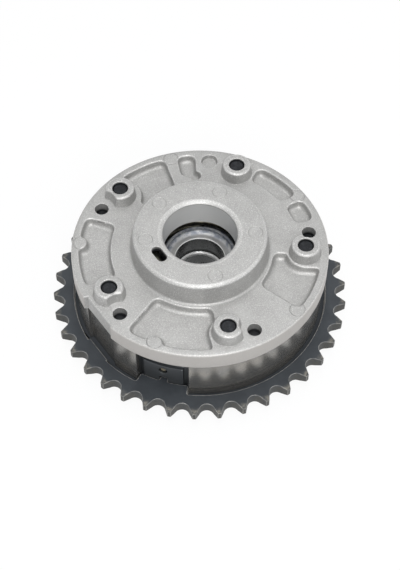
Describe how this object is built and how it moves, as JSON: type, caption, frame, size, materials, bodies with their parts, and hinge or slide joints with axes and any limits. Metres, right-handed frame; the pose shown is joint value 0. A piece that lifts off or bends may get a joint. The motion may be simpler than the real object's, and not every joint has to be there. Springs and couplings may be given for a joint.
{
  "type": "cam phaser",
  "caption": "Vane-type cam phaser: toothed drum with a ribbed cast front cover and hollow hub, holding an oil-swung vane rotor with a centre bolt bore.",
  "frame": {"origin": "on the drum's axis, in the plane of the sprocket's rear hub face", "axes": "+Z along the axis towards the cast front cover, away from the camshaft; +X through the axis of the first housing bolt"},
  "size_m": [0.1194, 0.1194, 0.047],
  "materials": {
    "cast_cover": "sandblasted die casting",
    "housing": "turned outside, sintered dark inside and in the window",
    "sprocket": "dark steam-treated sintered steel",
    "rotor": "machined sintered steel",
    "bolts": "black phosphate",
    "plug": "polished ball",
    "spring_wire": "oil-tempered wire",
    "spring_strip": "bright strip",
    "hard_steel": "ground and hardened",
    "seal": "filled plastic"
  },
  "bodies": {
    "housing": {"front_cover": "cast_cover", "stator_housing": "housing", "sprocket": "sprocket", "housing_bolts": "bolts", "drilling_plug": "plug", "lock_bush": "hard_steel", "bias_spring": "spring_wire", "lobe_seal_1": "seal", "lobe_seal_2": "seal", "lobe_seal_3": "seal", "lobe_seal_4": "seal", "lobe_seal_5": "seal", "lobe_seal_spring_1": "spring_strip", "lobe_seal_spring_2": "spring_strip", "lobe_seal_spring_3": "spring_strip", "lobe_seal_spring_4": "spring_strip", "lobe_seal_spring_5": "spring_strip"},
    "rotor": {"rotor": "rotor", "journal_ring": "hard_steel", "lock_cap": "hard_steel", "lock_spring": "spring_wire", "vane_seal_1": "seal", "vane_seal_2": "seal", "vane_seal_3": "seal", "vane_seal_4": "seal", "vane_seal_5": "seal", "vane_seal_spring_1": "spring_strip", "vane_seal_spring_2": "spring_strip", "vane_seal_spring_3": "spring_strip", "vane_seal_spring_4": "spring_strip", "vane_seal_spring_5": "spring_strip"},
    "lock_pin": {"lock_pin": "hard_steel"}
  },
  "joints": [
    {"name": "rotor_swing", "type": "hinge", "parent": "housing", "child": "rotor", "pos_m": [0, 0, 0], "axis": [0, 0, 1], "range_deg": [0, 30], "stiffness_Nm_per_rad": 0.6, "springref_deg": -68.75, "deforming": ["bias_spring"]},
    {"name": "lock_pin_slide", "type": "slide", "parent": "rotor", "child": "lock_pin", "axis": [0, 0, 1], "range_m": [0, 0.0015], "stiffness_N_per_m": 800, "springref_m": -0.004, "deforming": ["lock_spring"]}
  ]
}
